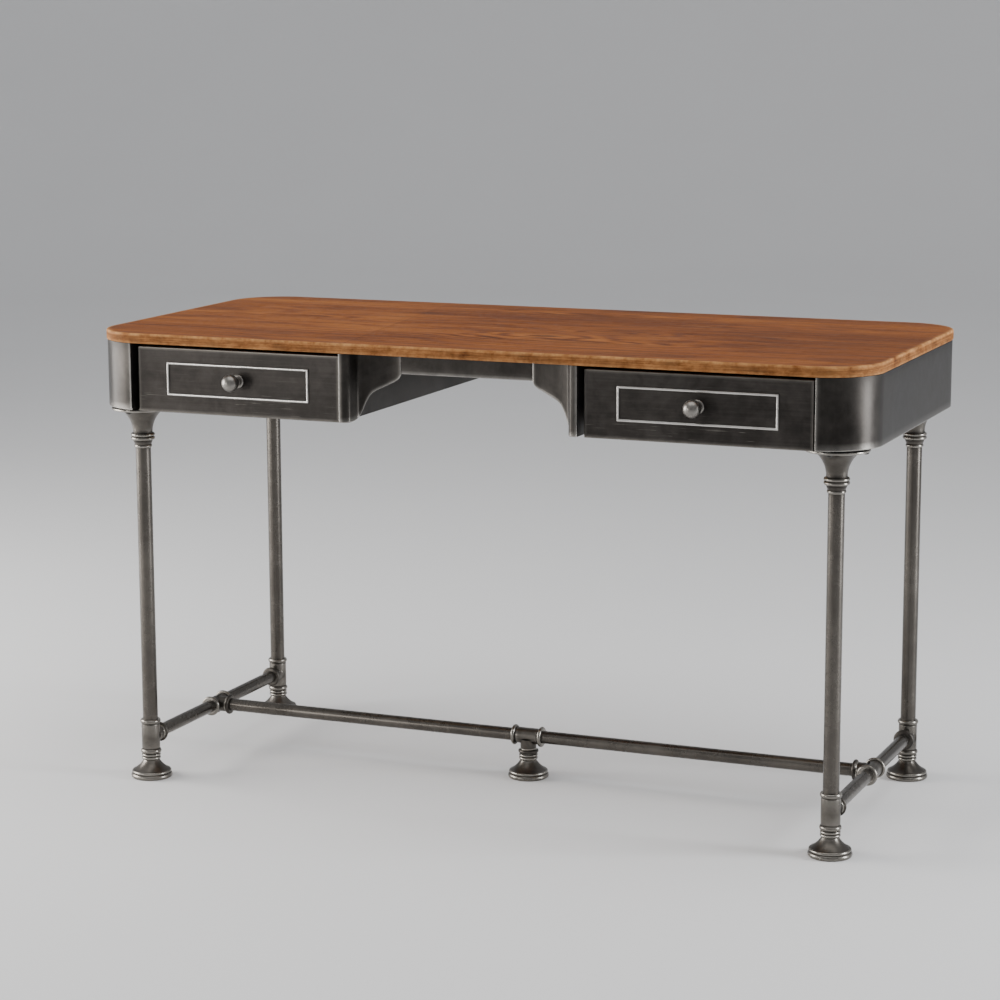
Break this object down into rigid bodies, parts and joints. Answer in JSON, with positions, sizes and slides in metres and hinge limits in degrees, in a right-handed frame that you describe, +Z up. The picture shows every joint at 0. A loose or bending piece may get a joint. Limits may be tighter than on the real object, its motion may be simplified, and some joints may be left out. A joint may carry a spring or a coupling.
{
  "type": "writing desk",
  "caption": "Writing desk: thin wooden top with rounded corners over a gunmetal sheet-steel skirt with drawers either side of a knee space, on a pipe-and-fitting base.",
  "frame": {"origin": "on the floor under the middle of the top, at the flat underside of the centre foot", "axes": "+X along the desk's length, -Y towards the sitter and the way the drawers open, +Z up"},
  "size_m": [1.315, 0.6235, 0.762],
  "materials": {
    "wood_top": "stained wood board with a satin lacquer, worn along its edges",
    "skirt": "gunmetal sheet steel, brushed and clear-lacquered, bright along its edges",
    "drawer_face": "dark gunmetal with fine level brush marks",
    "bead": "gunmetal rubbed back to bright metal",
    "knob": "burnished dark pewter",
    "pipe": "antique pewter tube, satin",
    "fitting": "burnished antique pewter casting, bright on its beads and dark in its grooves",
    "frame_sheet": "dark painted sheet steel, satin",
    "drawer_box": "plain stained plywood",
    "slides": "zinc-plated steel",
    "screws": "blackened steel"
  },
  "bodies": {
    "root": {"back_skirt": "skirt", "centre_tee": "fitting", "corbel_left": "skirt", "corbel_right": "skirt", "corner_gussets": "frame_sheet", "drawer_rails": "slides", "end_skirt_left": "skirt", "end_skirt_right": "skirt", "end_stretcher_back_left": "pipe", "end_stretcher_back_right": "pipe", "end_stretcher_front_left": "pipe", "end_stretcher_front_right": "pipe", "foot_back_left": "fitting", "foot_back_right": "fitting", "foot_centre": "fitting", "foot_front_left": "fitting", "foot_front_right": "fitting", "foot_nipples": "fitting", "front_apron": "skirt", "housing_inner_left": "frame_sheet", "housing_inner_right": "frame_sheet", "housing_outer_left": "frame_sheet", "housing_outer_right": "frame_sheet", "leg_collar_back_left": "fitting", "leg_collar_back_right": "fitting", "leg_collar_front_left": "fitting", "leg_collar_front_right": "fitting", "leg_screws": "screws", "leg_tee_back_left": "fitting", "leg_tee_back_right": "fitting", "leg_tee_front_left": "fitting", "leg_tee_front_right": "fitting", "leg_tube_back_left": "pipe", "leg_tube_back_right": "pipe", "leg_tube_front_left": "pipe", "leg_tube_front_right": "pipe", "long_stretcher_left": "pipe", "long_stretcher_right": "pipe", "middle_tee_left": "fitting", "middle_tee_right": "fitting", "table_top": "wood_top", "top_screws": "screws"},
    "drawer_left": {"drawer_left_back": "drawer_box", "drawer_left_bead_frame": "bead", "drawer_left_bottom": "drawer_box", "drawer_left_front": "drawer_face", "drawer_left_knob": "knob", "drawer_left_knob_screw": "screws", "drawer_left_runners": "slides", "drawer_left_side_inner": "drawer_box", "drawer_left_side_outer": "drawer_box"},
    "drawer_right": {"drawer_right_back": "drawer_box", "drawer_right_bead_frame": "bead", "drawer_right_bottom": "drawer_box", "drawer_right_front": "drawer_face", "drawer_right_knob": "knob", "drawer_right_knob_screw": "screws", "drawer_right_runners": "slides", "drawer_right_side_inner": "drawer_box", "drawer_right_side_outer": "drawer_box"}
  },
  "joints": [
    {"name": "drawer_left_slide", "type": "slide", "parent": "root", "child": "drawer_left", "axis": [0, -1, 0], "range_m": [0, 0.26]},
    {"name": "drawer_right_slide", "type": "slide", "parent": "root", "child": "drawer_right", "axis": [0, -1, 0], "range_m": [0, 0.26]}
  ]
}
